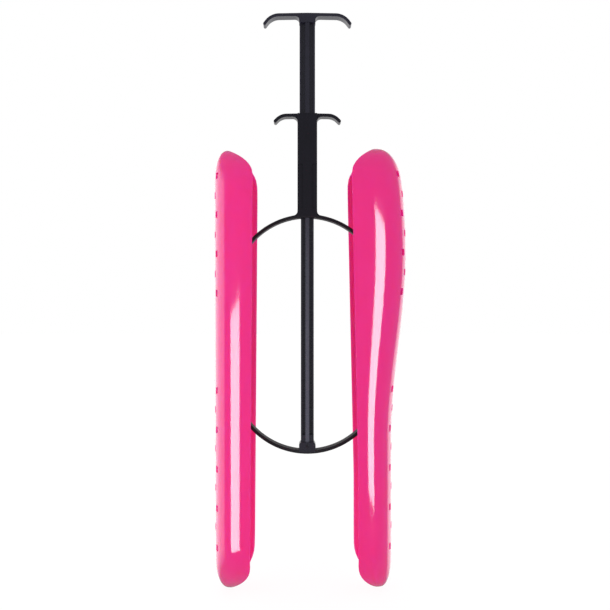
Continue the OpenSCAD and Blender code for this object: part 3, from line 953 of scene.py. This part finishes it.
@dataclass
class FingerSleeve:
    """The sleeve with the finger grip, in which the rod slides."""

    grip: SqueezeGrip
    width: float = SLEEVE_WIDTH
    depth: float = SLEEVE_DEPTH
    foot: float = SLEEVE_FOOT
    ledge: float = 387
    land: float = 8.4
    panel: float = 0.8
    upper_bore: tuple[float, float] = (14.5, 8.9)
    slope: tuple[float, float] = (0.9, 2.4)

    def make(self, workshop: Workshop) -> None:
        """Builds the column, fuses the grip, and cuts the bores and side panels."""
        half, deep, top = self.width / 2, self.depth / 2, self.grip.top
        piece = box((self.width, self.depth), self.foot, top)
        edit(piece)
        pick(Element.EDGE, lambda co: abs(co.x) > half - NEAR and abs(co.y) > deep - NEAR)
        bpy.ops.mesh.bevel(offset=1.0, segments=3, affect="EDGES")
        leave()
        fuse(piece, self.grip.build())
        cut(piece, box(self.upper_bore, self.ledge, top + 5))
        cut(piece, box(ROD_BORE, self.foot - 5, self.ledge + 1))
        for x in (-1, 1):
            for y in (-1, 1):
                xs = sorted((x * self.land / 2, x * (half + 2)))
                ys = sorted((y * (deep - self.panel), y * (deep + 2)))
                cut(piece, block((xs[0], ys[0], self.foot - 3), (xs[1], ys[1], self.ledge - 2)))
        reach = self.upper_bore[0] / 2
        for y in (-1, 1):
            low, high = top - self.slope[1], top + 2
            wedge = slab([(-reach, low), (reach, low), (reach, high), (-reach, high)], 6)
            edit(wedge)
            bpy.ops.transform.translate(value=(0, y * (deep + 3), 0))
            pick(Element.VERT, lambda co: co.z > top and abs(co.y) < deep + 1)
            lean = self.slope[0] * (self.slope[1] + 2) / self.slope[1]
            bpy.ops.transform.translate(value=(0, -y * lean, 0))
            leave()
            cut(piece, wedge)
        soften(piece, 0.25)
        piece = workshop.finish(piece, "sleeve_and_finger_grip", BLACK_SATIN, "black_plastic")
        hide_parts("finger_sleeve")
        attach(piece, "sleeve")


# ---- Foot and hinges ----


@dataclass
class FootSocket:
    """The socket on the lower bow, with sloping shoulders and a cross pin."""

    width: float = 15
    depth: float = 12
    foot: float = 124.2
    seat: float = 125.6
    height: float = 7.5
    shoulder: float = 2.1
    neck: float = 6.45
    bore: tuple[float, float] = (11.9, 8.6)
    pin_radius: float = 1.2

    def make(self, workshop: Workshop) -> None:
        """Builds the socket and its recessed cross pin."""
        half, top = self.width / 2, self.seat + self.height
        piece = box((self.width, self.depth), self.foot, top)
        edit(piece)
        bpy.ops.mesh.bisect(plane_co=(0, 0, top - self.shoulder), plane_no=(0, 0, 1))
        pick(Element.VERT, lambda co: co.z > top - NEAR)
        bpy.ops.transform.resize(value=(self.neck / half, 0.97, 1), center_override=(0, 0, top))
        leave()
        cut(piece, box(self.bore, self.seat + 1, top + 3))
        pin_z = self.seat + 1 + (self.height - 1) / 2
        cut(piece, bar(self.pin_radius + 0.1, self.depth + 2, 0, pin_z, 32))
        soften(piece, 0.3)
        piece = workshop.finish(piece, "rod_foot_socket", BLACK_RUBBED_PAINTED_LIGHTER, "black_plastic")
        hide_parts("foot_socket")
        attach(piece, "rod")
        pin = bar(self.pin_radius, self.depth - 0.8, 0, pin_z, 32)
        soften(pin, 0.2)
        pin = workshop.finish(pin, "rod_foot_cross_pin", DARK_STEEL, "pin_steel")
        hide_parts("foot_pin")
        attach(pin, "rod")


@dataclass
class RivetedPin:
    """A hinge rivet with a low domed head at each end."""

    node: str
    body: str
    x: float
    z: float
    radius: float = 2
    head_radius: float = 3.2
    head: float = 1
    half_length: float = 10

    def make(self, workshop: Workshop) -> None:
        """Builds the shank and two heads with rounded rims."""
        piece = bar(self.radius, 2 * self.half_length - self.head, self.x, self.z)
        for end in (-1, 1):
            head = bar(self.head_radius, self.head, self.x, self.z)
            head.location.y = end * (self.half_length - self.head / 2)
            settle(head)
            edit(head)
            pick(Element.FACE, lambda co: end * co.y > self.half_length - NEAR)
            bpy.ops.mesh.bevel(offset=0.55, segments=3, affect="EDGES")
            leave()
            fuse(piece, head)
        piece = workshop.finish(piece, f"{self.node}_rivet", STEEL, "pin_steel")
        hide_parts(self.node)
        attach(piece, self.body)


@dataclass
class SpringCarrier:
    """The black bracket inside a shell that holds the bows' eyes between its two cheeks."""

    node: str
    body: str

    def make(self, workshop: Workshop) -> None:
        """Merges a copy of the solid's faces and rounds its edges."""
        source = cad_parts[self.node]
        piece = source.copy()
        piece.data = source.data.copy()
        for key in list(piece.keys()):
            del piece[key]
        piece.parent = None
        bpy.context.scene.collection.objects.link(piece)
        edit(piece)
        bpy.ops.mesh.remove_doubles(threshold=0.00001)
        bpy.ops.mesh.dissolve_limited(angle_limit=math.radians(0.5))
        leave()
        soften(piece, 0.4 * METRES_PER_MM, angle=40)
        name = f"{self.node}_bracket"
        piece = workshop.finish(piece, name, BLACK_MATT, "black_plastic", in_millimetres=False)
        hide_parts(self.node)
        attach(piece, self.body)


# ---- Studio ----


@dataclass(frozen=True)
class Softbox:
    """A rectangular lamp on a circle round the object, facing its axis.

    The azimuth goes from the camera towards minus X, and the lean turns the lamp in its own plane.
    One that is gloss_only is seen in reflections alone; the others only light the surfaces.
    """

    name: str
    azimuth: float
    middle: float
    width: float
    height: float
    radiance: float
    distance: float = 1000
    lean: float = 0
    gloss_only: bool = False

    def hang(self) -> None:
        """Adds the lamp, with power for its radiance over its area."""
        data = bpy.data.lights.new(self.name, "AREA")
        data.shape = "RECTANGLE"
        data.size, data.size_y = self.width * METRES_PER_MM, self.height * METRES_PER_MM
        data.energy = self.radiance * math.pi * data.size * data.size_y
        lamp = bpy.data.objects.new(self.name, data)
        turn = math.radians(self.azimuth)
        lamp.location = Vector(
            (-math.sin(turn) * self.distance, -math.cos(turn) * self.distance, self.middle)
        ) * METRES_PER_MM
        lamp.rotation_euler = (math.pi / 2, math.radians(self.lean), -turn)
        lamp.visible_diffuse = not self.gloss_only
        lamp.visible_glossy = self.gloss_only
        bpy.context.scene.collection.objects.link(lamp)


@dataclass
class Studio:
    """Camera, lamps, backdrop and floor of the photograph."""

    camera_place: tuple[float, float, float] = (-2.1, -700, 257.4)
    sensor: float = 36
    focal_pixels: float = 768
    picture_pixels: float = 610
    room_front: float = 0.45
    room_above: float = 0.88
    room_gloss: float = 0.3
    room_back: float = 1.15
    room_rise: tuple[float, float] = (0.2, 0.7)
    ceiling_rise: tuple[float, float] = (0.35, 0.6)
    sweep_edge: tuple[float, float] = (0.22, 0.32)
    sweep_turn: float = -0.3
    floor_share: float = 0.88
    floor_glow: float = 1.04
    lamps: tuple[Softbox, ...] = (
        Softbox("left_box", azimuth=46, middle=200, width=325, height=900, radiance=1.4, distance=650),
        Softbox(
            "left_box_gloss", azimuth=46, middle=-104, width=500, height=706, radiance=6.8, lean=-4,
            gloss_only=True,
        ),
        Softbox("right_box", azimuth=-43, middle=150, width=306, height=700, radiance=1.75, distance=900),
        Softbox(
            "right_box_gloss", azimuth=-43, middle=150, width=340, height=620, radiance=7.6, lean=6,
            gloss_only=True,
        ),
    )

    def camera(self) -> None:
        """Places the camera square on to the middle plane."""
        data = bpy.data.cameras.new("camera")
        data.sensor_width = self.sensor
        data.lens = self.sensor * self.focal_pixels / self.picture_pixels
        data.clip_start, data.clip_end = 0.05, 50
        camera = bpy.data.objects.new("camera", data)
        camera.location = Vector(self.camera_place) * METRES_PER_MM
        camera.rotation_euler = (math.pi / 2, 0, 0)
        bpy.context.scene.collection.objects.link(camera)
        bpy.context.scene.camera = camera

    def world(self) -> None:
        """White to the eye; to the object a white sweep at the back, and a dimmer room in front."""
        world = bpy.data.worlds.new("studio")
        bpy.context.scene.world = world
        tree = clear_tree(world)
        glossy = add_node(tree, "ShaderNodeLightPath").outputs["Is Glossy Ray"]
        way = add_node(tree, "ShaderNodeTexCoord").outputs["Generated"]
        axes = add_node(tree, "ShaderNodeSeparateXYZ", {0: way}).outputs
        height = calculate(tree, "ABSOLUTE", axes["Z"])
        above = ramp(tree, height, self.room_rise, (self.room_front, self.room_above))
        front = mix(tree, glossy, above, self.room_gloss)
        side = calculate(tree, "MULTIPLY_ADD", axes["X"], self.sweep_turn, axes["Y"])
        sweep = ramp(tree, side, self.sweep_edge, (front, self.room_back))
        ceiling = calculate(tree, "MULTIPLY", ramp(tree, height, self.ceiling_rise), glossy)
        room = mix(tree, ceiling, sweep, self.room_gloss)
        strength = mix(tree, seen_directly(tree), room, 1.0)
        background = add_node(tree, "ShaderNodeBackground", {"Color": srgb("#FFFFFF"), "Strength": strength})
        add_node(tree, "ShaderNodeOutputWorld", {"Surface": background.outputs["Background"]})

    def floor(self) -> None:
        """A wide pale floor just under the shells' tips, which keeps a faint shadow."""
        deselect_all()
        size, drop = 12, 0.0005
        bpy.ops.mesh.primitive_plane_add(size=size, location=(0, 0, -drop))
        floor = bpy.context.object
        floor.name = "studio_floor"
        material = bpy.data.materials.new("white_paper_floor")
        tree = clear_tree(material)
        share = calculate(tree, "MULTIPLY", seen_directly(tree), self.floor_share)
        paper = add_node(tree, "ShaderNodeBsdfDiffuse", {"Color": srgb("#F4F4F4")})
        glow = add_node(tree, "ShaderNodeEmission", {"Color": srgb("#FFFFFF"), "Strength": self.floor_glow})
        mixed = add_node(
            tree, "ShaderNodeMixShader",
            {0: share, 1: paper.outputs["BSDF"], 2: glow.outputs["Emission"]},
        )
        add_node(tree, "ShaderNodeOutputMaterial", {"Surface": mixed.outputs["Shader"]})
        floor.data.materials.append(material)
        floor.visible_glossy = False
        floor.visible_shadow = False

    def make(self) -> None:
        """Sets up the whole studio."""
        self.camera()
        for lamp in self.lamps:
            lamp.hang()
        self.world()
        self.floor()
        bpy.context.scene.view_settings.view_transform = "Standard"


def main() -> None:
    """Builds every sub-assembly in order."""
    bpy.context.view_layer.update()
    studio = Studio()
    studio.make()
    workshop = Workshop()
    HalfShell(Side.FRONT, "front_shell", lift=0, tips=(0.6, 0.67), width_root=0.85).make(workshop)
    HalfShell(Side.REAR, "rear_shell", lift=1.6, tips=(0.65, 0.56), width_root=0.6).make(workshop)
    hoop = SpringHoop()
    hoop.make(workshop)
    BowHub().make(workshop)
    PushRod(SqueezeGrip(
        top=522, width=80, thickness=2.8, hook_radius=14.6, hook_angle=52, tip=2.5, stem_width=14,
        block_height=5.6,
    )).make(workshop)
    FingerSleeve(SqueezeGrip(
        top=431, width=61, thickness=2.9, hook_radius=12.5, hook_angle=45, tip=2, stem_width=SLEEVE_WIDTH,
    )).make(workshop)
    FootSocket().make(workshop)
    for up, level in LEVELS:
        for side in Side:
            word = side.name.lower()
            node = f"{level}_{word}_pin"
            body = f"{word}_shell" if level == "upper" else node
            RivetedPin(node, body, x=side.value * hoop.pin_x, z=hoop.pin_z(up)).make(workshop)
    SpringCarrier("front_carrier", "front_shell").make(workshop)
    SpringCarrier("rear_carrier", "rear_shell").make(workshop)
    deselect_all()


if __name__ == "__main__":
    main()
